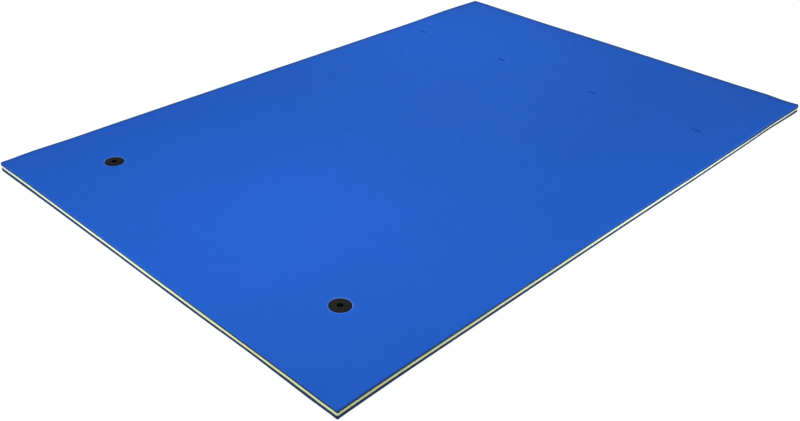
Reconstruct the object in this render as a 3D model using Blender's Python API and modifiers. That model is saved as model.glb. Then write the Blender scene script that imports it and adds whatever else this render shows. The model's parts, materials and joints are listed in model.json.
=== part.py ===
"""Swim float mat.

A floating foam mat: three foam sheets bonded face to face, two tether grommets clamped through them near
one short edge, and a row of punched strap slits near the other. Units are metres and +Z is up. The origin
is on the floor under the middle of the mat. X runs along the mat, with the grommets at the -X end and the
slits at the +X end, and Y runs across it.
"""
import math

import bmesh
import bpy

# Mat outline, nine feet by six
MAT_LENGTH = 2.743
MAT_WIDTH = 1.829
CORNER_RADIUS = 0.005
CORNER_STEPS = 5

# Foam sheets
SKIN_THICKNESS = 0.0098
CORE_THICKNESS = 0.0098
BOND_GAP = 0.0003
RIM_ROUNDING = 0.0032
FOOT_ROUNDING = 0.0010
RIM_STEPS = 4

# Grommets and slits, set out from the mat's edges and then shifted a little to one side
GROMMET_SIDE_SHIFT = 0.019
GROMMET_FROM_END = 0.3115
GROMMET_FROM_SIDE = 0.300
SLIT_SIDE_SHIFT = 0.0255
SLIT_FROM_END = 0.5665
SLIT_FROM_SIDE = 0.1565
SLIT_COUNT = 4
SLIT_LENGTH = 0.045
SLIT_WIDTH = 0.006
SLIT_END_RADIUS = 0.0025
SLIT_END_STEPS = 3

# Grommet flange, the same on both halves
FLANGE_DIAMETER = 0.071
FLANGE_THICKNESS = 0.003
FLANGE_LAND_DIAMETER = 0.037
FLANGE_FALL = 0.0010
FLANGE_FALL_STEPS = 3
FLANGE_EDGE_RADIUS = 0.0007
FLANGE_EDGE_STEPS = 2

# Grip ridges on the face of the flange that bites the foam
RIDGE_PLACE_SHARES = (0.36, 0.74)
RIDGE_WIDTH = 0.0024
RIDGE_HEIGHT = 0.0009

# Grommet bore and the snap between its halves
BORE_DIAMETER = 0.0205
BORE_LEAD_RADIUS = 0.0015
BORE_LEAD_STEPS = 3
BARREL_WALL = 0.0030
BARREL_END_CHAMFER = 0.0006
SLEEVE_WALL = 0.0025
TOOTH_COUNT = 3
TOOTH_PITCH = 0.0045
TOOTH_LENGTH = 0.0022
TOOTH_HEIGHT = 0.0007
TOOTH_FROM_END = 0.0040

# How the grommet sits in the foam
UPPER_LAND_PROUD = 0.0006
LOWER_LAND_RECESS = 0.0008
FOAM_LIP_RADIUS = 0.0022
FOAM_LIP_STEPS = 3
FIT_GAP = 0.0003

# Construction
TURN_STEPS = 32
CUT_OVERRUN = 0.010
MERGE_DISTANCE = 0.00001
ROUND_PROFILE_SHARE = 0.5
FULL_TURN = 2 * math.pi
QUARTER_TURN = math.pi / 2
LIP_END_ANGLE = math.radians(105)
SMOOTH_ANGLE = math.radians(35)

# Colours as linear light
BLUE_FOAM = (0.018, 0.108, 0.560)
YELLOW_FOAM = (0.780, 0.800, 0.370)
BLACK_PLASTIC = (0.020, 0.019, 0.018)
FOAM_ROUGHNESS = 0.85
PLASTIC_ROUGHNESS = 0.55

# Heights
CORE_BOTTOM = SKIN_THICKNESS + BOND_GAP
CORE_TOP = CORE_BOTTOM + CORE_THICKNESS
TOP_SHEET_BOTTOM = CORE_TOP + BOND_GAP
MAT_TOP = TOP_SHEET_BOTTOM + SKIN_THICKNESS
UPPER_LAND = MAT_TOP + UPPER_LAND_PROUD
UPPER_FLANGE_UNDERSIDE = UPPER_LAND - FLANGE_THICKNESS
LOWER_LAND = LOWER_LAND_RECESS
LOWER_FLANGE_TOP = LOWER_LAND + FLANGE_THICKNESS
BARREL_END = LOWER_FLANGE_TOP + FIT_GAP
SLEEVE_END = UPPER_FLANGE_UNDERSIDE - FIT_GAP

# Radii about a grommet's axis
FLANGE_RADIUS = FLANGE_DIAMETER / 2
LAND_RADIUS = FLANGE_LAND_DIAMETER / 2
BORE_RADIUS = BORE_DIAMETER / 2
BARREL_RADIUS = BORE_RADIUS + BARREL_WALL
SLEEVE_BORE_RADIUS = BARREL_RADIUS + FIT_GAP
SLEEVE_RADIUS = SLEEVE_BORE_RADIUS + SLEEVE_WALL
FOAM_HOLE_RADIUS = SLEEVE_RADIUS + FIT_GAP
SEAT_RADIUS = FLANGE_RADIUS + FIT_GAP

# Places along and across the mat
GROMMET_X = GROMMET_FROM_END - MAT_LENGTH / 2
GROMMET_Y = {
    "near": GROMMET_SIDE_SHIFT - MAT_WIDTH / 2 + GROMMET_FROM_SIDE,
    "far": GROMMET_SIDE_SHIFT + MAT_WIDTH / 2 - GROMMET_FROM_SIDE,
}
SLIT_X = MAT_LENGTH / 2 - SLIT_FROM_END
SLIT_ROW_HALF = MAT_WIDTH / 2 - SLIT_FROM_SIDE


def clear_scene():
    for item in list(bpy.data.objects):
        bpy.data.objects.remove(item, do_unlink=True)


def new_collection(name):
    group = bpy.data.collections.new(name)
    bpy.context.scene.collection.children.link(group)
    return group


def new_material(name, colour, roughness):
    finish = bpy.data.materials.new(name)
    finish.use_nodes = True
    shader = finish.node_tree.nodes["Principled BSDF"]
    shader.inputs["Base Color"].default_value = (*colour, 1)
    shader.inputs["Roughness"].default_value = roughness
    shader.inputs["Metallic"].default_value = 0
    finish.diffuse_color = (*colour, 1)
    return finish


def new_axis(name, group, location, parent=None):
    """An empty that pieces are placed on."""
    axis = bpy.data.objects.new(name, None)
    axis.location = location
    axis.parent = parent
    group.objects.link(axis)
    return axis


def new_piece(name, mesh, group, finish=None, parent=None):
    piece = bpy.data.objects.new(name, mesh)
    piece.parent = parent
    group.objects.link(piece)
    if finish is not None:
        mesh.materials.append(finish)
    return piece


def as_cutter(piece):
    piece.hide_render = True
    piece.display_type = "WIRE"
    return piece


def arc(centre, radius, start, end, steps):
    """Points of (radius from the axis, height) along an arc, both ends included."""
    points = []
    for step in range(steps + 1):
        angle = start + (end - start) * step / steps
        points.append((centre[0] + radius * math.cos(angle), centre[1] + radius * math.sin(angle)))
    return points


def rounded_block(length, width, bottom, top, corner_radius, corner_steps):
    """A block whose upright edges are rounded, centred on the Z axis."""
    block = bmesh.new()
    bmesh.ops.create_cube(block, size=1)
    for vertex in block.verts:
        vertex.co.x *= length
        vertex.co.y *= width
        vertex.co.z = top if vertex.co.z > 0 else bottom
    upright = [edge for edge in block.edges if edge.verts[0].co.z != edge.verts[1].co.z]
    bmesh.ops.bevel(
        block,
        geom=upright,
        offset=corner_radius,
        segments=corner_steps,
        profile=ROUND_PROFILE_SHARE,
        affect="EDGES",
    )
    return block


def finished_mesh(name, shape):
    mesh = bpy.data.meshes.new(name)
    shape.to_mesh(mesh)
    shape.free()
    return mesh


def turned_mesh(name, profile, group, closed=True):
    """A mesh turned about Z from (radius, height) points that run down its outer side.

    A closed profile makes a ring round the axis. An open one starts and ends on the axis.
    """
    sketch = bpy.data.meshes.new(name)
    edges = [(first, first + 1) for first in range(len(profile) - 1)]
    if closed:
        edges.append((len(profile) - 1, 0))
    sketch.from_pydata([(radius, 0, height) for radius, height in profile], edges, [])
    blank = bpy.data.objects.new(name, sketch)
    group.objects.link(blank)
    turn = blank.modifiers.new("turn", "SCREW")
    turn.axis = "Z"
    turn.angle = FULL_TURN
    turn.steps = TURN_STEPS
    turn.render_steps = TURN_STEPS
    turn.use_merge_vertices = True
    turn.merge_threshold = MERGE_DISTANCE
    graph = bpy.context.evaluated_depsgraph_get()
    mesh = bpy.data.meshes.new_from_object(blank.evaluated_get(graph))
    bpy.data.objects.remove(blank, do_unlink=True)
    mesh.name = name
    mesh.shade_smooth()
    mesh.set_sharp_from_angle(angle=SMOOTH_ANGLE)
    return mesh


def ridge_places():
    """Radii of the grip ridges, between the sleeve and the flange's edge."""
    return [SLEEVE_RADIUS + share * (FLANGE_RADIUS - SLEEVE_RADIUS) for share in RIDGE_PLACE_SHARES]


def biting_face(gap):
    """The flange's inner face as (radius, depth into the foam) points, from its outermost ridge inwards.

    The gap widens each ridge into the groove that it leaves in the foam.
    """
    points = []
    for place in reversed(ridge_places()):
        points.append((place + RIDGE_WIDTH / 2 + gap, 0))
        points.append((place, RIDGE_HEIGHT))
        points.append((place - RIDGE_WIDTH / 2 - gap, 0))
    return points


def flange_shell():
    """The flange as (radius, depth below its land) points: land, falling face, edge and biting face."""
    points = [(BORE_RADIUS + BORE_LEAD_RADIUS, 0), (LAND_RADIUS, 0)]
    slope_end = FLANGE_RADIUS - FLANGE_EDGE_RADIUS
    for step in range(1, FLANGE_FALL_STEPS + 1):
        share = step / FLANGE_FALL_STEPS
        points.append((LAND_RADIUS + share * (slope_end - LAND_RADIUS), FLANGE_FALL * share ** 2))
    edge_top = (slope_end, FLANGE_FALL + FLANGE_EDGE_RADIUS)
    points += arc(edge_top, FLANGE_EDGE_RADIUS, -QUARTER_TURN, 0, FLANGE_EDGE_STEPS)[1:]
    edge_bottom = (slope_end, FLANGE_THICKNESS - FLANGE_EDGE_RADIUS)
    points += arc(edge_bottom, FLANGE_EDGE_RADIUS, 0, QUARTER_TURN, FLANGE_EDGE_STEPS)
    points += [(radius, FLANGE_THICKNESS + depth) for radius, depth in biting_face(0)]
    return points


def tooth_tops():
    """Heights of the shoulders of the snap's teeth, the highest first."""
    lowest = BARREL_END + TOOTH_FROM_END + TOOTH_LENGTH
    return [lowest + TOOTH_PITCH * number for number in reversed(range(TOOTH_COUNT))]


def upper_half_profile():
    """Flange with the toothed barrel that goes down through the foam."""
    points = [(radius, UPPER_LAND - depth) for radius, depth in flange_shell()]
    points.append((BARREL_RADIUS, UPPER_FLANGE_UNDERSIDE))
    for top in tooth_tops():
        points.append((BARREL_RADIUS, top))
        points.append((BARREL_RADIUS + TOOTH_HEIGHT, top))
        points.append((BARREL_RADIUS, top - TOOTH_LENGTH))
    points.append((BARREL_RADIUS, BARREL_END + BARREL_END_CHAMFER))
    points.append((BARREL_RADIUS - BARREL_END_CHAMFER, BARREL_END))
    points.append((BORE_RADIUS, BARREL_END))
    lead = (BORE_RADIUS + BORE_LEAD_RADIUS, UPPER_LAND - BORE_LEAD_RADIUS)
    points += arc(lead, BORE_LEAD_RADIUS, 2 * QUARTER_TURN, QUARTER_TURN, BORE_LEAD_STEPS)[:-1]
    return points


def lower_half_profile():
    """Flange with the grooved sleeve that the barrel snaps into, and the lip that hides its end."""
    points = [(SLEEVE_BORE_RADIUS, SLEEVE_END)]
    points.append((SLEEVE_RADIUS, SLEEVE_END))
    points.append((SLEEVE_RADIUS, LOWER_FLANGE_TOP))
    points += [(radius, LOWER_LAND + depth) for radius, depth in reversed(flange_shell())]
    lead = (BORE_RADIUS + BORE_LEAD_RADIUS, LOWER_LAND + BORE_LEAD_RADIUS)
    points += arc(lead, BORE_LEAD_RADIUS, -QUARTER_TURN, -2 * QUARTER_TURN, BORE_LEAD_STEPS)[1:]
    points.append((BORE_RADIUS, LOWER_FLANGE_TOP))
    points.append((SLEEVE_BORE_RADIUS, LOWER_FLANGE_TOP))
    for top in reversed(tooth_tops()):
        points.append((SLEEVE_BORE_RADIUS, top - TOOTH_LENGTH - FIT_GAP))
        points.append((SLEEVE_BORE_RADIUS + TOOTH_HEIGHT, top - FIT_GAP))
        points.append((SLEEVE_BORE_RADIUS + TOOTH_HEIGHT, top + FIT_GAP))
        points.append((SLEEVE_BORE_RADIUS, top + FIT_GAP))
    return points


def pressed_seat():
    """Half of what a grommet presses out of the foam, as (radius, depth below the foam's face) points."""
    centre = (SEAT_RADIUS + FOAM_LIP_RADIUS, 0)
    lip = arc(centre, FOAM_LIP_RADIUS, 2 * QUARTER_TURN, LIP_END_ANGLE, FOAM_LIP_STEPS)
    rise = FOAM_LIP_RADIUS * (1 - math.sin(LIP_END_ANGLE))
    crest = (SEAT_RADIUS + FOAM_LIP_RADIUS, -rise)
    points = [(crest[0], -CUT_OVERRUN), crest]
    points += [(radius, FOAM_LIP_RADIUS - height) for radius, height in reversed(lip)]
    return points


def seat_cutter_profile():
    """A bobbin shape: an upper seat, the hole through the foam and a lower seat."""
    upper_floor = UPPER_FLANGE_UNDERSIDE - FIT_GAP
    lower_floor = LOWER_FLANGE_TOP + FIT_GAP
    upper = [(0, MAT_TOP + CUT_OVERRUN)]
    upper += [(radius, MAT_TOP - depth) for radius, depth in pressed_seat()]
    upper.append((SEAT_RADIUS, upper_floor))
    upper += [(radius, upper_floor - depth) for radius, depth in biting_face(FIT_GAP)]
    upper.append((FOAM_HOLE_RADIUS, upper_floor))
    lower = [(0, -CUT_OVERRUN)]
    lower += [(radius, depth) for radius, depth in pressed_seat()]
    lower.append((SEAT_RADIUS, lower_floor))
    lower += [(radius, lower_floor + depth) for radius, depth in biting_face(FIT_GAP)]
    lower.append((FOAM_HOLE_RADIUS, lower_floor))
    return upper + lower[::-1]


def add_seat_cutters(cutters, axes):
    mesh = turned_mesh("grommet_seat_cutter", seat_cutter_profile(), cutters, closed=False)
    for side, axis in axes.items():
        as_cutter(new_piece(f"{side}_grommet_seat_cutter", mesh, cutters, parent=axis))


def add_slit_cutters(cutters, origin):
    shape = rounded_block(
        SLIT_WIDTH,
        SLIT_LENGTH,
        -CUT_OVERRUN,
        MAT_TOP + CUT_OVERRUN,
        SLIT_END_RADIUS,
        SLIT_END_STEPS,
    )
    mesh = finished_mesh("slit_cutter", shape)
    for number in range(SLIT_COUNT):
        cutter = as_cutter(new_piece(f"slit_{number + 1}_cutter", mesh, cutters, parent=origin))
        place_share = 2 * number / (SLIT_COUNT - 1) - 1
        cutter.location = (SLIT_X, SLIT_SIDE_SHIFT + place_share * SLIT_ROW_HALF, 0)


def round_rim(sheet, face_height, radius):
    """Rounds the outer rim of the sheet's face that lies at the given height."""
    shape = bmesh.new()
    shape.from_mesh(sheet.data)
    weight = shape.edges.layers.float.new("bevel_weight_edge")
    for edge in shape.edges:
        on_face = [abs(vertex.co.z - face_height) < MERGE_DISTANCE for vertex in edge.verts]
        edge[weight] = 1 if all(on_face) else 0
    shape.to_mesh(sheet.data)
    shape.free()
    rounding = sheet.modifiers.new("rim rounding", "BEVEL")
    rounding.limit_method = "WEIGHT"
    rounding.width = radius
    rounding.segments = RIM_STEPS


def punch(sheet, cutters):
    """Cuts the grommets' seats and the slits out of a sheet."""
    cut = sheet.modifiers.new("punched pattern", "BOOLEAN")
    cut.operation = "DIFFERENCE"
    cut.solver = "EXACT"
    cut.operand_type = "COLLECTION"
    cut.collection = cutters


def add_sheet(name, bottom, top, group, cutters, finish, origin, open_face=None, rounding=0):
    """A foam sheet between two heights. An open face is the height of a face that shows."""
    shape = rounded_block(MAT_LENGTH, MAT_WIDTH, bottom, top, CORNER_RADIUS, CORNER_STEPS)
    sheet = new_piece(name, finished_mesh(name, shape), group, finish, origin)
    if open_face is not None:
        round_rim(sheet, open_face, rounding)
    punch(sheet, cutters)


def add_grommets(group, axes, finish):
    upper = turned_mesh("grommet_upper_half", upper_half_profile(), group)
    lower = turned_mesh("grommet_lower_half", lower_half_profile(), group)
    for mesh in (upper, lower):
        mesh.materials.append(finish)
    for side, axis in axes.items():
        new_piece(f"{side}_grommet_upper_half", upper, group, parent=axis)
        new_piece(f"{side}_grommet_lower_half", lower, group, parent=axis)


def main():
    clear_scene()
    mat = new_collection("swim_float_mat")
    cutters = new_collection("swim_float_mat_cutters")
    origin = new_axis("mat_origin", mat, (0, 0, 0))
    axes = {}
    for side, place in GROMMET_Y.items():
        axes[side] = new_axis(f"{side}_grommet_axis", mat, (GROMMET_X, place, 0), origin)
    blue = new_material("blue foam", BLUE_FOAM, FOAM_ROUGHNESS)
    yellow = new_material("yellow foam", YELLOW_FOAM, FOAM_ROUGHNESS)
    black = new_material("black plastic", BLACK_PLASTIC, PLASTIC_ROUGHNESS)
    add_seat_cutters(cutters, axes)
    add_slit_cutters(cutters, origin)
    add_sheet("bottom_foam_sheet", 0, SKIN_THICKNESS, mat, cutters, blue, origin, 0, FOOT_ROUNDING)
    add_sheet("core_foam_sheet", CORE_BOTTOM, CORE_TOP, mat, cutters, yellow, origin)
    add_sheet("top_foam_sheet", TOP_SHEET_BOTTOM, MAT_TOP, mat, cutters, blue, origin, MAT_TOP, RIM_ROUNDING)
    add_grommets(mat, axes, black)


main()
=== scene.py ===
"""Swim float mat: its foam, its grommets, the studio and the camera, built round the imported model.

Everything is in metres in the model's own frame: the mat lies on the floor at height 0, X runs along it with
the grommets at the -X end, and Y runs across it.
"""
import json
import math
from dataclasses import dataclass
from functools import partial
from typing import Callable

import bmesh
import bpy
from mathutils import Matrix, Vector, geometry, noise


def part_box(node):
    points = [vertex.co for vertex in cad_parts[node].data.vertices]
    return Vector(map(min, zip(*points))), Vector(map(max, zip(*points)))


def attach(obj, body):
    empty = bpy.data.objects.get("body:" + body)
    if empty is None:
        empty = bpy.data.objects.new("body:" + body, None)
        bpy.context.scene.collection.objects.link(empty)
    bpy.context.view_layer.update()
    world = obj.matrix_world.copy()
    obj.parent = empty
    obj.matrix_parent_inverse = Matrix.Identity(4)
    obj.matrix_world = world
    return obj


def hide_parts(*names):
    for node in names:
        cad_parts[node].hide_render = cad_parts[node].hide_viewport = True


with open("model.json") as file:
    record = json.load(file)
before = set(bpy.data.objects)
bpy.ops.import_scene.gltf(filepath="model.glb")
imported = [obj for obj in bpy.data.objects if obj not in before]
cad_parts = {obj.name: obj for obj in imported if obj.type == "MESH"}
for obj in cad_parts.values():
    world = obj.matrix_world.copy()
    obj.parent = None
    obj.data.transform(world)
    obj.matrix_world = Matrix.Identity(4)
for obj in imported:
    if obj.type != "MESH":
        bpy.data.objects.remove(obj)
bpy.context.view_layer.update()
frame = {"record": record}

# The camera, as solved from the mat's outline in the photograph
CAMERA_PLACE = (-2.6155, -2.2527, 1.7340)
CAMERA_AZIMUTH = math.radians(-46.231)
CAMERA_ELEVATION = math.radians(31.150)
CAMERA_ROLL = math.radians(1.596)
CAMERA_LENS = 42.866
CAMERA_SENSOR = 36
CAMERA_SHIFT = 0.02045

# Plan of the foam. The grid's points are the corners of equal triangles.
CORNER_RADIUS = 0.005
CORNER_STEPS = 8
RIM_STEP = 0.010
GRID_STEP = 0.030
GRID_ROW_SHARE = math.sin(math.radians(60))
GRID_MARGIN = 0.020
CIRCLE_STEPS = 96
SLIT_LENGTH = 0.045
SLIT_WIDTH = 0.0062
SLIT_END_STEPS = 8

# Section of the foam. The skin comes down the rim by SKIN_WRAP times the rim's rounding.
RIM_ROUNDING = 0.0034
FOOT_ROUNDING = 0.0008
SKIN_WRAP = 1.4
# Width of the painted shade on the outline's rim
RIM_SHADE_WIDTH = 0.0016
SLIT_ROUNDING = 0.0004
BOND_ROUNDING = 0.00035
BOND_GAP = 0.00002
CORE_RECESS = 0.0002
FACE_BORDER = 0.0012
ROUNDING_STEPS = 6
WALL_STEPS = 5

# Painted shade on the rim of the two far edges: its reach as a share of the distance to the near corner, and
# the shares of that reach at which rows of points lie
FAR_RIM_REACH_SHARE = 0.0138
FAR_RIM_ROWS = (0.5, 1.0)

# Settings of Blender's triangulation: triangles only inside the outline, and how near points are one point
TRIANGLES_INSIDE = 1
SAME_POINT = 1e-7

# Unevenness of the foam: swells of its thickness, the ripples of the knife's cut, and the distances from a
# grommet between which the thickness goes from true to uneven
SWELL_HEIGHT = 0.0010
SWELL_PITCH = 0.42
SWELL_LOW, SWELL_HIGH = -0.05, 0.55
SWELL_SEED = 3.7
RIPPLE = 0.00018
RIPPLE_PITCH = 0.045
RIPPLE_HEIGHT = 0.006
CALM_FROM, CALM_TO = 0.05, 0.20
NEARNESS_FALL = 2

# Places where the mat's outline runs out of true: (x share, y share, outward, reach)
EDGE_SHIFTS = (
    (-1.0, -1.0, 0.0032, 0.25),
    (-1.0, -0.99, -0.0016, 0.09),
    (-1.0, -0.59, -0.0015, 0.18),
    (-1.0, -0.22, 0.0006, 0.30),
    (-1.0, 0.95, 0.0020, 0.28),
    (-0.99, 1.0, -0.0108, 0.13),
    (-0.81, 1.0, -0.0038, 0.19),
    (0.82, 1.0, 0.0074, 0.24),
    (1.0, 1.0, -0.0026, 0.08),
    (1.0, 0.50, -0.0036, 0.31),
    (1.0, -0.95, -0.0146, 0.11),
    (-1.0, -1.0, 0.0010, 0.020),
    (-0.99, -1.0, 0.0006, 0.07),
    (-0.16, -1.0, -0.0009, 0.50),
    (0.36, -1.0, 0.0010, 0.45),
    (0.79, -1.0, -0.0020, 0.18),
    (0.98, -1.0, 0.0035, 0.20),
)

# Places where the sheets are thicker or thinner: (x share, y share, rises of base, core and deck, reach)
EDGE_LIFTS = (
    (-1.0, -1.0, (0.0020, 0.0016, 0.0025), 0.50),
    (-1.0, -0.95, (-0.0012, -0.0012, -0.0010), 0.05),
    (-1.0, -0.59, (-0.0011, -0.0018, -0.0010), 0.18),
    (-1.0, -0.24, (0.0011, 0.0011, 0.0011), 0.30),
    (-1.0, 0.22, (0.0018, 0.0013, 0.0016), 0.22),
    (-1.0, 0.52, (0.0012, 0.0002, 0.0010), 0.18),
    (-1.0, 0.85, (0.0044, 0.0042, 0.0062), 0.30),
    (0.40, -1.0, (-0.0002, -0.0016, 0.0004), 0.25),
    (0.70, -1.0, (-0.0014, -0.0040, 0.0006), 0.45),
    (0.74, -1.0, (0.0011, -0.0010, 0.0030), 0.18),
    (1.0, -1.0, (0.0036, 0.0008, 0.0046), 0.20),
)

# Grommets: flange, bore and the snap between the halves
BORE_RADIUS = 0.01025
BORE_LEAD = 0.0015
LAND_RADIUS = 0.0185
FLANGE_THICKNESS = 0.003
FLANGE_FALL = 0.0010
FLANGE_EDGE = 0.0007
FLANGE_FALL_STEPS = 8
RIDGE_PLACE_SHARES = (0.36, 0.74)
RIDGE_WIDTH = 0.0024
RIDGE_HEIGHT = 0.0009
BARREL_RADIUS = 0.01325
BARREL_CHAMFER = 0.0006
SLEEVE_RADIUS = 0.01605
FIT_GAP = 0.0003
TOOTH_COUNT = 3
TOOTH_PITCH = 0.0045
TOOTH_LENGTH = 0.0022
TOOTH_HEIGHT = 0.0007
TOOTH_FROM_END = 0.0040
# Width of the painted shade round a flange's edge
EDGE_SHADE_WIDTH = 0.0050
TURN_STEPS = 128
ARC_STEPS = 6

# The foam's seat round a grommet's flange
SEAT_GAP = 0.0005
SEAT_LIP = 0.0016
# Width of the scuffs round a seat, which are also a painted highlight
SEAT_SCUFF_AND_HIGHLIGHT_WIDTH = 0.0030
SEAT_DISH = 0.0005
SEAT_DISH_WIDTH = 0.014
SEAT_DISH_STEPS = 6

# Colours as linear light, and the distances from the near corner between which the core's yellow turns to
# a paler cream: painted light, standing for light that falls off towards the near corner
FOAM_BLUE = (0.0080, 0.0790, 0.4180)
# Blue darkened on the outline's rim: painted shade
RIM_SHADE_BLUE = (0.0100, 0.0720, 0.3050)
# Darker painted shade along the two far edges
FAR_RIM_SHADE_BLUE = (0.0095, 0.0540, 0.2050)
# Scuffs round the seats, made paler as a painted highlight too
SCUFF_AND_HIGHLIGHT_BLUE = (0.0700, 0.1750, 0.4600)
CUT_BLUE = (0.0085, 0.0310, 0.0880)
PRESSED_BLUE = (0.0035, 0.0170, 0.3400)
CUT_SHADE_SHARE = 0.55
CORE_YELLOW = (0.5700, 0.6130, 0.3150)
# Paler cream painted on the core away from the near corner: painted light
CORE_PAINTED_LIGHT_CREAM = (0.5600, 0.6550, 0.5400)
CORE_PAINTED_LIGHT_REACH = (0.15, 1.50)
CORE_SHADE_SHARE = 0.73
BLOOMED_BLACK = (0.0052, 0.0050, 0.0060)
# Darker black painted as shade on the flanges' edges and inside the bores
PAINTED_SHADE_BLACK = (0.0010, 0.0012, 0.0018)

# Textures: the range that most of a noise's values lie in, and how far a noise is broken up
NOISE_RANGE = (0.3, 0.7)
PLAIN_DETAIL = 2.0
RICH_DETAIL = 3.0

# Foam skin: the pitch of each texture, how far it lightens or darkens the blue, and the depth of its bumps.
# Its plain roughness, as the plastic's, is for a viewer that leaves the textures out.
SKIN_PLAIN_ROUGHNESS = 0.7
SKIN_ROUGHNESS = (0.62, 0.76)
SKIN_PATCH_PITCH = 0.024
SKIN_SPECULAR = 0.08
CLOUD_PITCH = 0.30
CLOUD_SWING = 0.020
BAND_PITCH = 0.09
BAND_STRETCH = (0.06, 1, 1)
BAND_SWING = 0.010
MOTTLE_PITCH = 0.016
MOTTLE_SWING = 0.028
GRAIN_PITCH = 0.0022
GRAIN_TONES = (0.030, -0.045)
FLECK_PITCH = 0.011
FLECK_TONES = (0.10, 0.0)
FLECK_RANGE = (0.04, 0.12)
PIT_PITCH = 0.017
PIT_STRETCH = (1.1, 0.9, 1)
PIT_TONES = (-0.12, 0.0)
PIT_RANGE = (0.03, 0.09)
SCUFF_PITCH = 0.02
SCUFF_SHARES = (0.35, 1.0)
SCUFF_RANGE = (0.35, 0.6)
PEEL_PITCH = 0.007
PEEL_DEPTH = 0.00012
PEBBLE_PITCH = 0.0016
PEBBLE_DEPTH = 0.00008
FINE_PITCH = 0.0006
FINE_DEPTH = 0.00003

# Cut foam: its open cells, the knife's drag lines and patches, and how far each of them darkens it
CUT_ROUGHNESS = 0.88
CUT_SPECULAR = 0.12
CELL_PITCH = 0.0011
CELL_RANGE = (0.12, 0.42)
CELL_SHARE = 0.55
CELL_DEPTH = 0.00030
DRAG_PITCH = 0.004
DRAG_STRETCH = (0.10, 0.10, 3.0)
DRAG_SHARES = (0.0, 0.35)
DRAG_DEPTH = 0.00020
PATCH_PITCH = 0.035
PATCH_SHARES = (0.0, 0.30)
CUT_NOISE_RANGE = (0.35, 0.7)

# The grommets' plastic: patches of bloom and of gloss, and fine grain
PLASTIC_PLAIN_ROUGHNESS = 0.5
PLASTIC_ROUGHNESS = (0.42, 0.58)
PLASTIC_PATCH_PITCH = 0.009
PLASTIC_SPECULAR = 0.07
BLOOM_PITCH = 0.012
BLOOM_TONES = (0.75, 1.35)
PLASTIC_GRAIN_PITCH = 0.0005
PLASTIC_GRAIN_DEPTH = 0.00004

# The floor's paper
PAPER_GREY = (0.1200, 0.1200, 0.1200)
PAPER_GLOW = 0.90
PAPER_PITCH = 0.8
PAPER_TONES = (0.995, 1.0)

# Studio light
SKY_HORIZON = 1.0
SKY_ZENITH = 0.44
SKY_FADE = (0.03, 0.22)
SKY_SIDE_FADE = (-0.95, -0.30)
SKY_SIDE_SHARE = 0.35
SUN_STRENGTH = 2.12
SUN_ELEVATION = math.radians(55)
SUN_AZIMUTH = math.radians(170)
SUN_SPREAD = math.radians(50)
FLOOR_HALF = 150.0
FLOOR_DROP = 0.0003

# Soft lamps: (place, aim, size, power)
LAMPS = (
    ((-0.909, -0.123, 1.216), (-0.909, -0.123, 0.0), (0.8, 0.8), 8.2),
    ((0.838, 0.666, 0.917), (0.838, 0.666, 0.0), (0.8, 0.8), 4.0),
    ((0.400, -2.100, 0.250), (0.400, -0.900, 0.0), (1.4, 0.3), 19.5),
    ((-2.213, 0.227, 0.120), (-1.370, 0.227, 0.0), (0.5, 0.2), 4.6),
)

# Sockets of Blender's nodes: a Map Range node's by name, and a Mix node's colour ones by number, because its
# sockets for other kinds of value have the same names
RANGE_SOCKETS = ("From Min", "From Max", "To Min", "To Max")
MIX_FIRST = 6
MIX_SECOND = 7
MIX_RESULT = 2

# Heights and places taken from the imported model
deck_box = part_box("top_foam_sheet")
core_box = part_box("core_foam_sheet")
HALF_LENGTH = deck_box[1].x
HALF_WIDTH = deck_box[1].y
DECK_TOP = deck_box[1].z
DECK_BOND = core_box[1].z
BASE_BOND = core_box[0].z

upper_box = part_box("near_grommet_upper_half")
lower_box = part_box("near_grommet_lower_half")
FLANGE_RADIUS = (upper_box[1].x - upper_box[0].x) / 2
UPPER_LAND = upper_box[1].z
UPPER_FLANGE_UNDERSIDE = UPPER_LAND - FLANGE_THICKNESS
LOWER_LAND = lower_box[0].z
LOWER_FLANGE_TOP = LOWER_LAND + FLANGE_THICKNESS
BARREL_END = LOWER_FLANGE_TOP + FIT_GAP
SLEEVE_END = UPPER_FLANGE_UNDERSIDE - FIT_GAP
SLEEVE_BORE = BARREL_RADIUS + FIT_GAP
FOAM_HOLE_RADIUS = SLEEVE_RADIUS + FIT_GAP
SEAT_RADIUS = FLANGE_RADIUS + SEAT_GAP
SEAT_SKIN_DEPTH = FLANGE_THICKNESS + FIT_GAP
SEAT_CREST = SEAT_RADIUS - FOAM_HOLE_RADIUS + SEAT_LIP
# Offsets between which the seat's scuffs and painted highlight fade out
SEAT_SCUFF_AND_HIGHLIGHT = (SEAT_CREST + SEAT_SCUFF_AND_HIGHLIGHT_WIDTH, SEAT_CREST)

# Order of a foam sheet's materials, and the angles above which an edge is drawn sharp
SKIN, CUT, PRESSED = 0, 1, 2
FOAM_SHARP_ANGLE = math.radians(50)
PLASTIC_SHARP_ANGLE = math.radians(35)
QUARTER_TURN = math.pi / 2


def box_middle(corners):
    low, high = corners
    return (Vector(low) + Vector(high)) / 2


GROMMETS = {side: box_middle(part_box(f"{side}_grommet_upper_half")) for side in ("near", "far")}
OPENINGS = frame["record"]["physics"]["openings"]
SLITS = [box_middle(opening["box_m"]) for opening in OPENINGS if opening["name"].startswith("slit")]


def smooth_step(low, high, value):
    """A smooth way from 0 at one value to 1 at another, which may be the smaller of the two."""
    share = min(max((value - low) / (high - low), 0), 1)
    return share * share * (3 - 2 * share)


def nearness(x, y, x_share, y_share, reach):
    """How near a point is to a place on the mat: 1 there, a seventh at the place's reach and less beyond."""
    distance = math.hypot(x - x_share * HALF_LENGTH, y - y_share * HALF_WIDTH)
    return math.exp(-NEARNESS_FALL * (distance / reach) ** 2)


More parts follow.
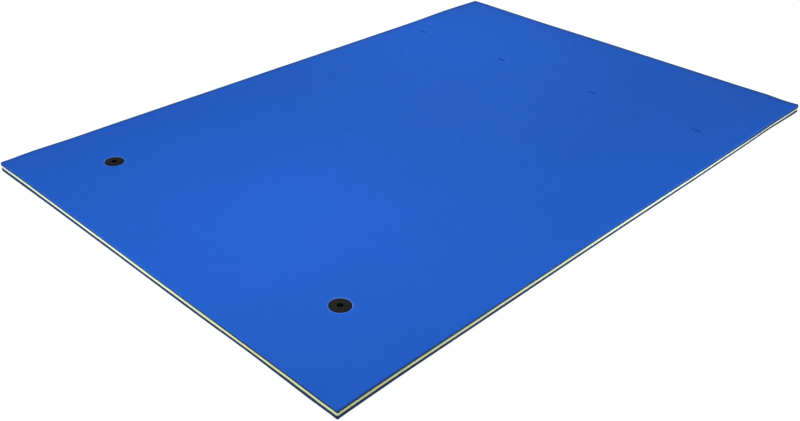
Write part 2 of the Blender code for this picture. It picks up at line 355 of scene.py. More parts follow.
def rises(x, y):
    """How far the upper faces of base, core and deck lie above their true heights at a point."""
    swell = noise.noise(Vector((x / SWELL_PITCH, y / SWELL_PITCH, SWELL_SEED)))
    found = Vector((1, 1, 1)) * (SWELL_HEIGHT * smooth_step(SWELL_LOW, SWELL_HIGH, swell))
    for x_share, y_share, edge_rises, reach in EDGE_LIFTS:
        found += Vector(edge_rises) * nearness(x, y, x_share, y_share, reach)
    for centre in GROMMETS.values():
        found *= smooth_step(CALM_FROM, CALM_TO, math.hypot(x - centre.x, y - centre.y))
    return found


def raised(x, y, height):
    """A height on the uneven mat, whose underside lies flat on the floor."""
    levels = (0, BASE_BOND, DECK_BOND, DECK_TOP)
    found = (0, *rises(x, y))
    for low, high, below, above in zip(levels, levels[1:], found, found[1:]):
        if height <= high:
            return height + below + (above - below) * (height - low) / (high - low)
    return height + found[-1]


def outline():
    """The mat's outline as (foot, facing) pairs: it lies a corner radius away from each foot."""
    stations = []
    corners = ((1, -1), (1, 1), (-1, 1), (-1, -1))
    half_sides = (HALF_WIDTH - CORNER_RADIUS, HALF_LENGTH - CORNER_RADIUS)
    half_width, half_length = half_sides
    for number, (side_x, side_y) in enumerate(corners):
        centre = Vector((side_x * half_length, side_y * half_width))
        start = (number - 1) * QUARTER_TURN
        for step in range(CORNER_STEPS + 1):
            angle = start + QUARTER_TURN * step / CORNER_STEPS
            stations.append((centre, Vector((math.cos(angle), math.sin(angle)))))
        facing = stations[-1][1]
        length = 2 * half_sides[number % 2]
        steps = round(length / RIM_STEP)
        along = Vector((-facing.y, facing.x))
        for step in range(1, steps):
            stations.append((centre + along * (length * step / steps), facing))
    return stations


OUTLINE = outline()


def outward(x_share, y_share):
    """The way out of the mat from a place on its edge: across the edge, or diagonal at a corner."""
    x = x_share if abs(x_share) == 1 else 0
    y = y_share if abs(y_share) == 1 else 0
    return Vector((x, y))


def edge_shift(place):
    """How far the mat's outline runs out of true at a place."""
    shift = Vector((0, 0))
    for x_share, y_share, out, reach in EDGE_SHIFTS:
        near = nearness(place.x, place.y, x_share, y_share, reach)
        shift += outward(x_share, y_share) * (out * near)
    return shift


def far_edges(x, y):
    """Where the mat's far long edge and far short edge run beside a point: their Y and their X."""
    side = HALF_WIDTH + edge_shift(Vector((x, HALF_WIDTH))).y
    end = HALF_LENGTH + edge_shift(Vector((HALF_LENGTH, y))).x
    return side, end


def far_rim_reach(x, y):
    """How far in from the far edges the painted shade reaches: further, the further off the near corner is.
    """
    return FAR_RIM_REACH_SHARE * math.hypot(x + HALF_LENGTH, y + HALF_WIDTH)


def far_rim_share(x, y):
    """How far painted shade darkens the skin at a point: wholly at a far edge, and no more at the rim's
    reach.
    """
    side, end = far_edges(x, y)
    return smooth_step(far_rim_reach(x, y), 0, min(side - y, end - x))


def far_rim_points():
    """Rows of points along the far edges, close enough together for the painted shade on the rim to show on
    them.
    """
    points = []
    for row in FAR_RIM_ROWS:
        for step in range(round(2 * (HALF_LENGTH - GRID_MARGIN) / RIM_STEP)):
            x = GRID_MARGIN - HALF_LENGTH + step * RIM_STEP
            side, _end = far_edges(x, HALF_WIDTH)
            points.append((x, side - row * far_rim_reach(x, side)))
        for step in range(round(2 * (HALF_WIDTH - GRID_MARGIN) / RIM_STEP)):
            y = GRID_MARGIN - HALF_WIDTH + step * RIM_STEP
            _side, end = far_edges(HALF_LENGTH, y)
            points.append((end - row * far_rim_reach(end, y), y))
    return points


def outline_ring(offset, height):
    """The outline drawn in by an offset, a little out of true and rippled as a knife leaves it."""
    ring = []
    for foot, facing in OUTLINE:
        place = foot + facing * (CORNER_RADIUS - offset)
        spot = (place.x / RIPPLE_PITCH, place.y / RIPPLE_PITCH, height / RIPPLE_HEIGHT)
        ripple = facing * (RIPPLE * noise.noise(Vector(spot)))
        x, y = place + edge_shift(place) + ripple
        ring.append((x, y))
    return ring


def circle_ring(centre, radius, offset, _height):
    """A round hole's edge, grown by an offset."""
    ring = []
    for step in range(CIRCLE_STEPS):
        angle = 2 * math.pi * step / CIRCLE_STEPS
        reach = radius + offset
        ring.append((centre.x + reach * math.cos(angle), centre.y + reach * math.sin(angle)))
    return ring


def slit_ring(centre, offset, _height):
    """A punched slit's edge, grown by an offset. The slit runs along Y and has round ends."""
    ring = []
    radius = SLIT_WIDTH / 2 + offset
    reach = (SLIT_LENGTH - SLIT_WIDTH) / 2
    for end in (1, -1):
        for step in range(SLIT_END_STEPS + 1):
            angle = math.pi * step / SLIT_END_STEPS
            x = end * radius * math.cos(angle)
            y = end * (reach + radius * math.sin(angle))
            ring.append((centre.x + x, centre.y + y))
    return ring


def rounded_edge(rounding, face, side):
    """A face turning into a wall, as (offset into the foam, height). The face looks up where side is 1."""
    points = [(rounding + FACE_BORDER, face)]
    for step in range(ROUNDING_STEPS + 1):
        angle = QUARTER_TURN * step / ROUNDING_STEPS
        offset = rounding * (1 - math.sin(angle))
        points.append((offset, face - side * rounding * (1 - math.cos(angle))))
    return points


def wall(high_points, low_points):
    """A wall between two edges, from the upper face down to the lower one."""
    top, bottom = high_points[-1], low_points[-1]
    middle = []
    for step in range(1, WALL_STEPS):
        share = step / WALL_STEPS
        middle.append((top[0] + (bottom[0] - top[0]) * share, top[1] + (bottom[1] - top[1]) * share))
    return high_points + middle + low_points[::-1]


def seat_edge(face, floor, side):
    """The dished face, the pressed lip and the seat under a grommet's flange, in to the hole's wall."""
    seat = SEAT_RADIUS - FOAM_HOLE_RADIUS
    points = []
    for step in range(SEAT_DISH_STEPS):
        share = 1 - step / SEAT_DISH_STEPS
        dip = SEAT_DISH * (1 - smooth_step(0, 1, share))
        points.append((SEAT_CREST + SEAT_DISH_WIDTH * share, face - side * dip))
    lip = rounded_edge(SEAT_LIP, face - side * SEAT_DISH, side)[1:]
    points += [(seat + offset, height) for offset, height in lip]
    points += [(seat, floor), (0, floor)]
    return points


@dataclass
class Boundary:
    """A closed edge of a foam sheet.

    It has a ring at any offset and height, a section from top to bottom, the depth to which the skin of the
    open face comes down it, the offsets between which the skin turns from unmarked to marked (painted shade
    on the outline's rim, scuffs and a painted highlight round a grommet's seat), and the material of the
    wall below the skin.
    """

    ring: Callable
    section: list
    skin_depth: float
    wear_and_painted_light: tuple | None
    wall_material: int = CUT
    is_hole: bool = True

    def wear_and_painted_light_at(self, offset):
        return smooth_step(*self.wear_and_painted_light, offset) if self.wear_and_painted_light else 0


def sheet_boundaries(bottom, top, outer_low, outer_high, seat_low=None, seat_high=None):
    """The outline, holes and slits of a sheet. On an open face, a seat is given by its floor's height."""
    inset = CORE_RECESS if outer_low == outer_high else 0
    rim = wall(rounded_edge(outer_high, top, 1), rounded_edge(outer_low, bottom, -1))
    rim = [(offset + inset, height) for offset, height in rim]
    skin_depth = SKIN_WRAP * max(outer_low, outer_high)
    # The outline's rim gets painted shade; each grommet's seat gets scuffs and a painted highlight
    found = [Boundary(outline_ring, rim, skin_depth, (RIM_SHADE_WIDTH, 0), is_hole=False)]
    hole_high = rounded_edge(BOND_ROUNDING, top, 1)
    if seat_high is not None:
        hole_high = seat_edge(top, seat_high, 1)
    hole_low = rounded_edge(BOND_ROUNDING, bottom, -1)
    if seat_low is not None:
        hole_low = seat_edge(bottom, seat_low, -1)
    for centre in GROMMETS.values():
        ring = partial(circle_ring, centre, FOAM_HOLE_RADIUS)
        # A grommet's hole: its seat gets scuffs and a painted highlight
        found.append(Boundary(ring, wall(hole_high, hole_low), SEAT_SKIN_DEPTH, SEAT_SCUFF_AND_HIGHLIGHT))
    slot = wall(rounded_edge(SLIT_ROUNDING, top, 1), rounded_edge(SLIT_ROUNDING, bottom, -1))
    for centre in SLITS:
        found.append(Boundary(partial(slit_ring, centre), slot, SLIT_ROUNDING, None, PRESSED))
    return found


def is_clear(x, y):
    """Whether a grid point keeps off the mat's edges, its grommets and its slits."""
    if abs(x) > HALF_LENGTH - GRID_MARGIN or abs(y) > HALF_WIDTH - GRID_MARGIN:
        return False
    reach = SEAT_RADIUS + SEAT_LIP + SEAT_DISH_WIDTH + GRID_MARGIN
    if any(math.hypot(x - centre.x, y - centre.y) < reach for centre in GROMMETS.values()):
        return False
    across, along = SLIT_WIDTH / 2 + GRID_MARGIN, SLIT_LENGTH / 2 + GRID_MARGIN
    return not any(abs(x - centre.x) < across and abs(y - centre.y) < along for centre in SLITS)


def grid_points():
    """Points of a staggered grid over the mat."""
    points = []
    rows = round(2 * HALF_WIDTH / (GRID_STEP * GRID_ROW_SHARE))
    columns = round(2 * HALF_LENGTH / GRID_STEP)
    for row in range(1, rows):
        y = HALF_WIDTH * (2 * row / rows - 1)
        for column in range(columns + 1):
            x = HALF_LENGTH * ((2 * column + row % 2) / columns - 1)
            if is_clear(x, y):
                points.append((x, y))
    return points


GRID = grid_points() + far_rim_points()


def face_triangles(rings, holes):
    """Triangles between a face's rings, as indices into the rings' points followed by the grid's."""
    points = [Vector(point) for ring in rings for point in ring] + [Vector(point) for point in GRID]
    edges = []
    owner = {}
    start = 0
    for number, ring in enumerate(rings):
        for i in range(len(ring)):
            edges.append((start + i, start + (i + 1) % len(ring)))
            owner[start + i] = number
        start += len(ring)
    found = geometry.delaunay_2d_cdt(points, edges, [], TRIANGLES_INSIDE, SAME_POINT)
    _places, _edges, faces, origins, _edge_origins, _face_origins = found
    original = [origin[0] for origin in origins]
    triangles = []
    for face in faces:
        corners = [original[i] for i in face]
        rings_met = {owner.get(i) for i in corners}
        inside_hole = len(rings_met) == 1 and rings_met.pop() in holes
        if not inside_hole:
            triangles.append(corners)
    return triangles


def foam_vertex(shape, x, y, height):
    """A new vertex on the uneven mat, marked with how far the painted shade on the far edges' rim darkens
    it.
    """
    vertex = shape.verts.new((x, y, raised(x, y, height)))
    vertex[shape.verts.layers.float["far_rim"]] = far_rim_share(x, y)
    return vertex


def wall_rings(shape, boundary):
    """A boundary's rings from top to bottom, marked with painted shade on a rim or scuffs and painted
    highlight at a seat.
    """
    # A seat's mark holds scuffs and a painted highlight; the outline's rim mark holds painted shade
    mark = shape.verts.layers.float["seat" if boundary.is_hole else "rim"]
    rings = []
    for offset, height in boundary.section:
        ring = []
        for x, y in boundary.ring(offset, height):
            vertex = foam_vertex(shape, x, y, height)
            vertex[mark] = boundary.wear_and_painted_light_at(offset)
            ring.append(vertex)
        rings.append(ring)
    return rings


def add_wall_faces(shape, boundary, rings, open_face):
    """Faces between a boundary's rings: skin near the open face, and cut or pressed foam below it."""
    heights = [height for _offset, height in boundary.section]
    for level in range(len(rings) - 1):
        upper, lower = rings[level], rings[level + 1]
        middle = (heights[level] + heights[level + 1]) / 2
        is_skin = abs(middle - open_face) <= boundary.skin_depth
        for i in range(len(upper)):
            j = (i + 1) % len(upper)
            face = shape.faces.new((upper[i], lower[i], lower[j], upper[j]))
            face.material_index = SKIN if is_skin else boundary.wall_material


def foam_sheet(name, boundaries, materials, open_face):
    """A closed foam sheet whose skin is on the open face, given by its height."""
    shape = bmesh.new()
    # Marks for painted shade on the rims and the far edges, and for the seats' scuffs and painted highlight
    for mark in ("rim", "far_rim", "seat"):
        shape.verts.layers.float.new(mark)
    walls = []
    for boundary in boundaries:
        rings = wall_rings(shape, boundary)
        add_wall_faces(shape, boundary, rings, open_face)
        walls.append(rings)
    holes = {number for number, boundary in enumerate(boundaries) if boundary.is_hole}
    for level in (0, -1):
        height = boundaries[0].section[level][1]
        verts = [vertex for rings in walls for vertex in rings[level]]
        edges = [[vertex.co.xy for vertex in rings[level]] for rings in walls]
        for x, y in GRID:
            verts.append(foam_vertex(shape, x, y, height))
        for triangle in face_triangles(edges, holes):
            face = shape.faces.new([verts[i] for i in triangle])
            face.material_index = SKIN if height == open_face else CUT
    bmesh.ops.recalc_face_normals(shape, faces=shape.faces)
    return new_piece(name, shape, materials, FOAM_SHARP_ANGLE)


def new_piece(name, shape, materials, sharp_angle):
    mesh = bpy.data.meshes.new(name)
    shape.to_mesh(mesh)
    shape.free()
    for material in materials:
        mesh.materials.append(material)
    mesh.shade_smooth()
    mesh.set_sharp_from_angle(angle=sharp_angle)
    piece = bpy.data.objects.new(name, mesh)
    bpy.context.scene.collection.objects.link(piece)
    return piece


def arc(centre, radius, start, end):
    """Points of (radius from the axis, height) along an arc, both ends included."""
    points = []
    for step in range(ARC_STEPS + 1):
        angle = start + (end - start) * step / ARC_STEPS
        points.append((centre[0] + radius * math.cos(angle), centre[1] + radius * math.sin(angle)))
    return points


def biting_face():
    """The flange's inner face as (radius, height of its ridges), from its outermost ridge inwards."""
    points = []
    for share in reversed(RIDGE_PLACE_SHARES):
        place = SLEEVE_RADIUS + share * (FLANGE_RADIUS - SLEEVE_RADIUS)
        points.append((place + RIDGE_WIDTH / 2, 0))
        points.append((place, RIDGE_HEIGHT))
        points.append((place - RIDGE_WIDTH / 2, 0))
    return points


def flange_shell():
    """The flange as (radius, depth below its land): land, falling face, edge and biting face."""
    points = [(BORE_RADIUS + BORE_LEAD, 0), (LAND_RADIUS, 0)]
    slope_end = FLANGE_RADIUS - FLANGE_EDGE
    for step in range(1, FLANGE_FALL_STEPS + 1):
        share = step / FLANGE_FALL_STEPS
        points.append((LAND_RADIUS + share * (slope_end - LAND_RADIUS), FLANGE_FALL * share ** 2))
    points += arc((slope_end, FLANGE_FALL + FLANGE_EDGE), FLANGE_EDGE, -QUARTER_TURN, 0)[1:]
    points += arc((slope_end, FLANGE_THICKNESS - FLANGE_EDGE), FLANGE_EDGE, 0, QUARTER_TURN)
    points += [(radius, FLANGE_THICKNESS + depth) for radius, depth in biting_face()]
    return points


def tooth_tops():
    """Heights of the shoulders of the snap's teeth, the highest first."""
    lowest = BARREL_END + TOOTH_FROM_END + TOOTH_LENGTH
    return [lowest + TOOTH_PITCH * number for number in reversed(range(TOOTH_COUNT))]


def upper_half_profile():
    """Flange with the toothed barrel that goes down through the foam."""
    points = [(radius, UPPER_LAND - depth) for radius, depth in flange_shell()]
    points.append((BARREL_RADIUS, UPPER_FLANGE_UNDERSIDE))
    for top in tooth_tops():
        points.append((BARREL_RADIUS, top))
        points.append((BARREL_RADIUS + TOOTH_HEIGHT, top))
        points.append((BARREL_RADIUS, top - TOOTH_LENGTH))
    points.append((BARREL_RADIUS, BARREL_END + BARREL_CHAMFER))
    points.append((BARREL_RADIUS - BARREL_CHAMFER, BARREL_END))
    points.append((BORE_RADIUS, BARREL_END))
    lead = (BORE_RADIUS + BORE_LEAD, UPPER_LAND - BORE_LEAD)
    points += arc(lead, BORE_LEAD, 2 * QUARTER_TURN, QUARTER_TURN)[:-1]
    return points


def lower_half_profile():
    """Flange with the grooved sleeve that the barrel snaps into, and the lip that hides its end."""
    points = [(SLEEVE_BORE, SLEEVE_END), (SLEEVE_RADIUS, SLEEVE_END), (SLEEVE_RADIUS, LOWER_FLANGE_TOP)]
    points += [(radius, LOWER_LAND + depth) for radius, depth in reversed(flange_shell())]
    lead = (BORE_RADIUS + BORE_LEAD, LOWER_LAND + BORE_LEAD)
    points += arc(lead, BORE_LEAD, -QUARTER_TURN, -2 * QUARTER_TURN)[1:]
    points += [(BORE_RADIUS, LOWER_FLANGE_TOP), (SLEEVE_BORE, LOWER_FLANGE_TOP)]
    for top in reversed(tooth_tops()):
        points.append((SLEEVE_BORE, top - TOOTH_LENGTH - FIT_GAP))
        points.append((SLEEVE_BORE + TOOTH_HEIGHT, top - FIT_GAP))
        points.append((SLEEVE_BORE + TOOTH_HEIGHT, top + FIT_GAP))
        points.append((SLEEVE_BORE, top + FIT_GAP))
    return points


def painted_shade_share(radius, height):
    """How far a point of a grommet is darkened by painted shade: wholly on the flange's edge and inside the
    bore.
    """
    edge = smooth_step(FLANGE_RADIUS - EDGE_SHADE_WIDTH, FLANGE_RADIUS - FLANGE_EDGE, radius)
    depth = min(abs(height - UPPER_LAND), abs(height - LOWER_LAND))
    bore = smooth_step(0, BORE_LEAD, depth) * smooth_step(BORE_RADIUS + BORE_LEAD, BORE_RADIUS, radius)
    return max(edge, bore)


def turned_piece(name, centre, profile, material):
    """A ring turned about a grommet's axis from a closed profile of (radius, height) points."""
    shape = bmesh.new()
    painted_shade = shape.verts.layers.float.new("painted_shade")
    rings = []
    for radius, height in profile:
        ring = []
        for step in range(TURN_STEPS):
            angle = 2 * math.pi * step / TURN_STEPS
            place = (centre.x + radius * math.cos(angle), centre.y + radius * math.sin(angle), height)
            vertex = shape.verts.new(place)
            vertex[painted_shade] = painted_shade_share(radius, height)
            ring.append(vertex)
        rings.append(ring)
    for ring, following in zip(rings, rings[1:] + rings[:1]):
        for i in range(TURN_STEPS):
            j = (i + 1) % TURN_STEPS
            shape.faces.new((ring[i], following[i], following[j], ring[j]))
    bmesh.ops.recalc_face_normals(shape, faces=shape.faces)
    return new_piece(name, shape, (material,), PLASTIC_SHARP_ANGLE)


class Surface:
    """A node material in the making, with short calls for the textures that it is mixed from."""

    def __init__(self, name, roughness, specular):
        self.material = bpy.data.materials.new(name)
        self.material.use_nodes = True
        self.nodes = self.material.node_tree.nodes
        self.links = self.material.node_tree.links
        self.shader = self.nodes["Principled BSDF"]
        self.shader.inputs["Roughness"].default_value = roughness
        self.shader.inputs["Specular IOR Level"].default_value = specular
        self.place = self.nodes.new("ShaderNodeTexCoord").outputs["Object"]

    def feed(self, socket, value):
        """Sets a socket to a number or a colour, or links an output to it."""
        if isinstance(value, bpy.types.NodeSocket):
            self.links.new(value, socket)
        elif isinstance(value, tuple):
            alpha = (1,) * (len(socket.default_value) - len(value))
            socket.default_value = value + alpha
        else:
            socket.default_value = value

    def math(self, operation, first, second=0.0):
        node = self.nodes.new("ShaderNodeMath")
        node.operation = operation
        self.feed(node.inputs[0], first)
        self.feed(node.inputs[1], second)
        return node.outputs[0]

    def between(self, value, low, high, from_low=0.0, from_high=1.0):
        """A value mapped from one range to another, held inside the second."""
        node = self.nodes.new("ShaderNodeMapRange")
        self.feed(node.inputs["Value"], value)
        for name, number in zip(RANGE_SOCKETS, (from_low, from_high, low, high)):
            node.inputs[name].default_value = number
        return node.outputs[0]

    def swing(self, texture, reach):
        """A noise as a number that swings as far as the reach to either side of zero."""
        return self.between(texture, -reach, reach, *NOISE_RANGE)

    def stretched(self, stretch, shift=0.0):
        """The surface's place, squeezed along each axis, so that a texture there is drawn out."""
        node = self.nodes.new("ShaderNodeMapping")
        self.feed(node.inputs["Vector"], self.place)
        node.inputs["Scale"].default_value = stretch
        node.inputs["Location"].default_value = (shift, shift, shift)
        return node.outputs[0]

    def noise(self, pitch, detail=PLAIN_DETAIL, stretch=(1, 1, 1), shift=0.0):
        """A soft noise. A shift moves it off the others, so that they don't darken the same places."""
        node = self.nodes.new("ShaderNodeTexNoise")
        self.feed(node.inputs["Vector"], self.stretched(stretch, shift))
        node.inputs["Scale"].default_value = 1 / pitch
        node.inputs["Detail"].default_value = detail
        return node.outputs[0]

    def cells(self, pitch, feature="F1", stretch=(1, 1, 1)):
        """The distance to the middle of the nearest of many cells."""
        node = self.nodes.new("ShaderNodeTexVoronoi")
        node.feature = feature
        self.feed(node.inputs["Vector"], self.stretched(stretch))
        node.inputs["Scale"].default_value = 1 / pitch
        return node.outputs["Distance"]

    def mark(self, name):
        """A number from 0 to 1 that the piece's mesh holds at each vertex."""
        node = self.nodes.new("ShaderNodeAttribute")
        node.attribute_name = name
        return node.outputs["Fac"]

    def distance(self, point):
        node = self.nodes.new("ShaderNodeVectorMath")
        node.operation = "DISTANCE"
        self.feed(node.inputs[0], self.place)
        self.feed(node.inputs[1], point)
        return node.outputs["Value"]

    def mixed(self, share, first, second):
        """A colour between two others."""
        node = self.nodes.new("ShaderNodeMix")
        node.data_type = "RGBA"
        self.feed(node.inputs["Factor"], share)
        self.feed(node.inputs[MIX_FIRST], first)
        self.feed(node.inputs[MIX_SECOND], second)
        return node.outputs[MIX_RESULT]

    def shaded(self, colour, factor):
        """A colour made lighter or darker by a factor."""
        node = self.nodes.new("ShaderNodeVectorMath")
        node.operation = "SCALE"
        self.feed(node.inputs[0], colour)
        self.feed(node.inputs["Scale"], factor)
        return node.outputs[0]

    def total(self, *values):
        result = values[0]
        for value in values[1:]:
            result = self.math("ADD", result, value)
        return result

    def bump(self, height, depth, under=None):
        node = self.nodes.new("ShaderNodeBump")
        node.inputs["Strength"].default_value = 1
        node.inputs["Distance"].default_value = depth
        self.feed(node.inputs["Height"], height)
        if under is not None:
            self.feed(node.inputs["Normal"], under)
        return node.outputs[0]

    def finish(self, colour, roughness=None, normal=None):
        self.feed(self.shader.inputs["Base Color"], colour)
        if roughness is not None:
            self.feed(self.shader.inputs["Roughness"], roughness)
        if normal is not None:
            self.feed(self.shader.inputs["Normal"], normal)
        return self.material


def skin_tone(surface):
    """How light the skin is: soft clouds, roller bands, mottling, fine cells, pale flecks and dark pits."""
    clouds = surface.swing(surface.noise(CLOUD_PITCH, RICH_DETAIL), CLOUD_SWING)
    bands = surface.swing(surface.noise(BAND_PITCH, stretch=BAND_STRETCH, shift=4.0), BAND_SWING)
    mottle = surface.swing(surface.noise(MOTTLE_PITCH, RICH_DETAIL, shift=8.0), MOTTLE_SWING)
    grain = surface.between(surface.cells(GRAIN_PITCH), *GRAIN_TONES)
    flecks = surface.between(surface.cells(FLECK_PITCH), *FLECK_TONES, *FLECK_RANGE)
    pits = surface.between(surface.cells(PIT_PITCH, stretch=PIT_STRETCH), *PIT_TONES, *PIT_RANGE)
    return surface.total(clouds, bands, mottle, grain, flecks, pits, 1.0)


def skin_bumps(surface):
    """The skin's soft waviness, its pebbled cells and its fine grain, one upon the other."""
    peel = surface.bump(surface.noise(PEEL_PITCH), PEEL_DEPTH)
    pebble = surface.bump(surface.cells(PEBBLE_PITCH, "SMOOTH_F1"), PEBBLE_DEPTH, peel)
    return surface.bump(surface.noise(FINE_PITCH), FINE_DEPTH, pebble)


def foam_skin():
    """The mat's moulded skin: even blue, painted shade on the rims and far edges, scuffs and painted
    highlight at the seats.
    """
    surface = Surface("blue foam skin", SKIN_PLAIN_ROUGHNESS, SKIN_SPECULAR)
    tone = skin_tone(surface)
    scuffs = surface.between(surface.noise(SCUFF_PITCH, RICH_DETAIL), *SCUFF_SHARES, *SCUFF_RANGE)
    # Scuffs round the seats, paler as a painted highlight too
    scuffed_and_highlighted = surface.math("MULTIPLY", surface.mark("seat"), scuffs)
    # Painted shade on the rims
    blue = surface.mixed(surface.mark("rim"), FOAM_BLUE, RIM_SHADE_BLUE)
    # A darker painted shade along the far edges
    blue = surface.mixed(surface.mark("far_rim"), blue, FAR_RIM_SHADE_BLUE)
    colour = surface.shaded(surface.mixed(scuffed_and_highlighted, blue, SCUFF_AND_HIGHLIGHT_BLUE), tone)
    roughness = surface.between(surface.noise(SKIN_PATCH_PITCH, shift=3.0), *SKIN_ROUGHNESS, *NOISE_RANGE)
    return surface.finish(colour, roughness, skin_bumps(surface))


def cut_foam(name, colour, painted_light_colour, shade_share):
    """Foam that a knife cut through: open cells, fine drag lines along the cut and a darker, dry look.

    Its colour turns to the second one away from the near corner: painted light, paler where the mat is lit
    more.
    """
    surface = Surface(name, CUT_ROUGHNESS, CUT_SPECULAR)
    corner = (-HALF_LENGTH, -HALF_WIDTH, 0)
    # Painted light: paler away from the near corner
    painted_light_share = surface.between(surface.distance(corner), 0, 1, *CORE_PAINTED_LIGHT_REACH)
    colour = surface.mixed(painted_light_share, colour, painted_light_colour)
    shade = surface.shaded(colour, shade_share)
    dark_cells = surface.between(surface.cells(CELL_PITCH), 1.0, 0.0, *CELL_RANGE)
    drag = surface.noise(DRAG_PITCH, RICH_DETAIL, DRAG_STRETCH)
    patches = surface.noise(PATCH_PITCH, RICH_DETAIL, shift=2.0)
    share = surface.total(
        surface.math("MULTIPLY", dark_cells, CELL_SHARE),
        surface.between(drag, *DRAG_SHARES, *CUT_NOISE_RANGE),
        surface.between(patches, *PATCH_SHARES, *CUT_NOISE_RANGE),
    )
    mixed = surface.mixed(share, colour, shade)
    open_cells = surface.bump(surface.cells(CELL_PITCH, "SMOOTH_F1"), CELL_DEPTH)
    lines = surface.bump(drag, DRAG_DEPTH, open_cells)
    return surface.finish(mixed, normal=lines)


def moulded_plastic():
    """The grommets' matte black plastic: fine grain, greyish bloom, painted shade on flange edges and bores.
    """
    surface = Surface("black plastic", PLASTIC_PLAIN_ROUGHNESS, PLASTIC_SPECULAR)
    tone = surface.between(surface.noise(BLOOM_PITCH, RICH_DETAIL), *BLOOM_TONES, *NOISE_RANGE)
    # Painted shade darkens the flanges' edges and the bores
    colour = surface.shaded(surface.mixed(surface.mark("painted_shade"), BLOOMED_BLACK, PAINTED_SHADE_BLACK), tone)
    patches = surface.noise(PLASTIC_PATCH_PITCH, RICH_DETAIL, shift=5.0)
    roughness = surface.between(patches, *PLASTIC_ROUGHNESS, *NOISE_RANGE)
    grain = surface.bump(surface.noise(PLASTIC_GRAIN_PITCH), PLASTIC_GRAIN_DEPTH)
    return surface.finish(colour, roughness, grain)


def studio_paper():
    """The floor's seamless white paper, which glows as if lit from behind so that shadows stay faint."""
    surface = Surface("studio paper", roughness=1.0, specular=0.0)
    surface.shader.inputs["Emission Strength"].default_value = PAPER_GLOW
    tone = surface.between(surface.noise(PAPER_PITCH), *PAPER_TONES, *NOISE_RANGE)
    return surface.finish(surface.shaded(PAPER_GREY, tone))


def add_floor():
    shape = bmesh.new()
    corners = ((-1, -1), (1, -1), (1, 1), (-1, 1))
    shape.faces.new([shape.verts.new((x * FLOOR_HALF, y * FLOOR_HALF, -FLOOR_DROP)) for x, y in corners])
    floor = new_piece("studio_floor", shape, (studio_paper(),), sharp_angle=QUARTER_TURN)


def add_sky():
    """A white horizon that fades to a dimmer sky overhead and on the mat's -Y side."""
    world = bpy.data.worlds.new("studio")
    world.use_nodes = True
    bpy.context.scene.world = world
    nodes, links = world.node_tree.nodes, world.node_tree.links
    place = nodes.new("ShaderNodeTexCoord")
    parts = nodes.new("ShaderNodeSeparateXYZ")
    links.new(place.outputs["Generated"], parts.inputs[0])
    strength = nodes.new("ShaderNodeMath")
    strength.operation = "MULTIPLY"
    fades = (("Z", SKY_FADE, (SKY_HORIZON, SKY_ZENITH)), ("Y", SKY_SIDE_FADE, (SKY_SIDE_SHARE, 1)))
    for number, (axis, reach, levels) in enumerate(fades):
        fade = nodes.new("ShaderNodeMapRange")
        fade.interpolation_type = "SMOOTHSTEP"
        for name, value in zip(RANGE_SOCKETS, (*reach, *levels)):
            fade.inputs[name].default_value = value
        links.new(parts.outputs[axis], fade.inputs["Value"])
        links.new(fade.outputs[0], strength.inputs[number])
    links.new(strength.outputs[0], nodes["Background"].inputs["Strength"])
    nodes["Background"].inputs["Color"].default_value = (1, 1, 1, 1)


def add_light(name, kind, place, towards):
    light = bpy.data.lights.new(name, kind)
    holder = bpy.data.objects.new(name, light)
    holder.location = place
    holder.rotation_euler = (Vector(towards) - Vector(place)).to_track_quat("-Z", "Y").to_euler()
    holder.visible_camera = False
    bpy.context.scene.collection.objects.link(holder)
    return light


def add_lights():
    """A broad light from the grommets' end, two soft lamps over the mat and two low ones beside it."""
    level = math.cos(SUN_ELEVATION)
    place = (level * math.cos(SUN_AZIMUTH), level * math.sin(SUN_AZIMUTH), math.sin(SUN_ELEVATION))
    sun = add_light("broad_light", "SUN", place, (0, 0, 0))
    sun.energy = SUN_STRENGTH
    sun.angle = SUN_SPREAD
    for number, (place, aim, size, power) in enumerate(LAMPS):
        lamp = add_light(f"soft_lamp_{number + 1}", "AREA", place, aim)
        lamp.shape = "RECTANGLE"
        lamp.size, lamp.size_y = size
        lamp.energy = power


def add_camera():
    data = bpy.data.cameras.new("camera")
    data.lens = CAMERA_LENS
    data.sensor_width = CAMERA_SENSOR
    data.shift_x = CAMERA_SHIFT
    camera = bpy.data.objects.new("camera", data)
    level = math.cos(CAMERA_ELEVATION)
    right = Vector((math.cos(CAMERA_AZIMUTH), math.sin(CAMERA_AZIMUTH), 0))
    back = Vector((level * right.y, -level * right.x, math.sin(CAMERA_ELEVATION)))
    up = back.cross(right)
    turn = Matrix.Rotation(CAMERA_ROLL, 3, back)
    axes = Matrix((turn @ right, turn @ up, back)).transposed()
    camera.matrix_world = Matrix.Translation(CAMERA_PLACE) @ axes.to_4x4()
    bpy.context.scene.collection.objects.link(camera)
    bpy.context.scene.camera = camera


def place_piece(piece, node):
    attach(piece, "root")
    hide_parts(node)


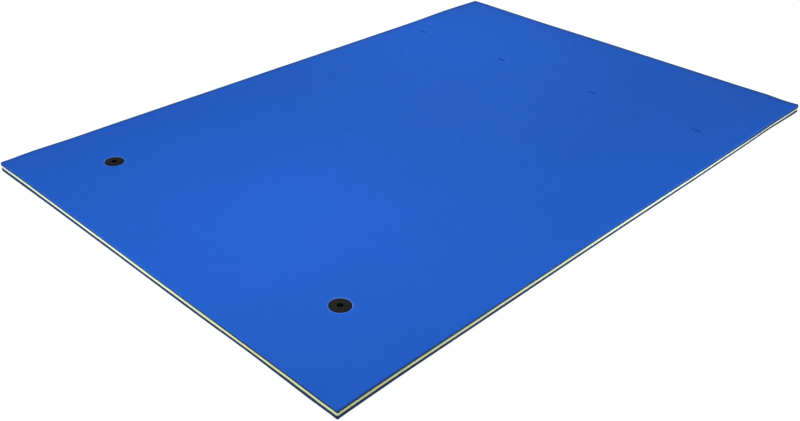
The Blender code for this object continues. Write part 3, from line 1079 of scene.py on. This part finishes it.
def add_foam():
    """The three bonded sheets."""
    skin = foam_skin()
    blue_cut = cut_foam("blue cut foam", CUT_BLUE, CUT_BLUE, CUT_SHADE_SHARE)
    blue_pressed = cut_foam("blue pressed foam", PRESSED_BLUE, PRESSED_BLUE, CUT_SHADE_SHARE)
    # The core's cream, away from the near corner, is painted light
    yellow_cut = cut_foam("yellow cut foam", CORE_YELLOW, CORE_PAINTED_LIGHT_CREAM, CORE_SHADE_SHARE)
    blue = (skin, blue_cut, blue_pressed)
    yellow = (yellow_cut, yellow_cut, yellow_cut)
    seat_high = UPPER_FLANGE_UNDERSIDE - FIT_GAP
    seat_low = LOWER_FLANGE_TOP + FIT_GAP
    half_gap = BOND_GAP / 2
    deck = sheet_boundaries(DECK_BOND + half_gap, DECK_TOP, BOND_ROUNDING, RIM_ROUNDING, seat_high=seat_high)
    core = sheet_boundaries(BASE_BOND + half_gap, DECK_BOND - half_gap, BOND_ROUNDING, BOND_ROUNDING)
    base = sheet_boundaries(0, BASE_BOND - half_gap, FOOT_ROUNDING, BOND_ROUNDING, seat_low=seat_low)
    pieces = (
        ("deck_foam", deck, blue, DECK_TOP, "top_foam_sheet", "blue_foam"),
        ("core_foam", core, yellow, DECK_BOND, "core_foam_sheet", "yellow_foam"),
        ("base_foam", base, blue, 0, "bottom_foam_sheet", "blue_foam"),
    )
    for name, boundaries, materials, open_face, node, slot in pieces:
        piece = foam_sheet(name, boundaries, materials, open_face)
        place_piece(piece, node)


def add_grommets():
    plastic = moulded_plastic()
    profiles = {"upper": upper_half_profile(), "lower": lower_half_profile()}
    for side, centre in GROMMETS.items():
        for half, profile in profiles.items():
            piece = turned_piece(f"{side}_tether_grommet_{half}", centre, profile, plastic)
            place_piece(piece, f"{side}_grommet_{half}_half")


def set_colours():
    """Plain colours, as a photograph of goods on white paper has them."""
    settings = bpy.context.scene.view_settings
    settings.view_transform = "Standard"
    settings.look = "None"


set_colours()
add_camera()
add_sky()
add_lights()
add_floor()
add_foam()
add_grommets()
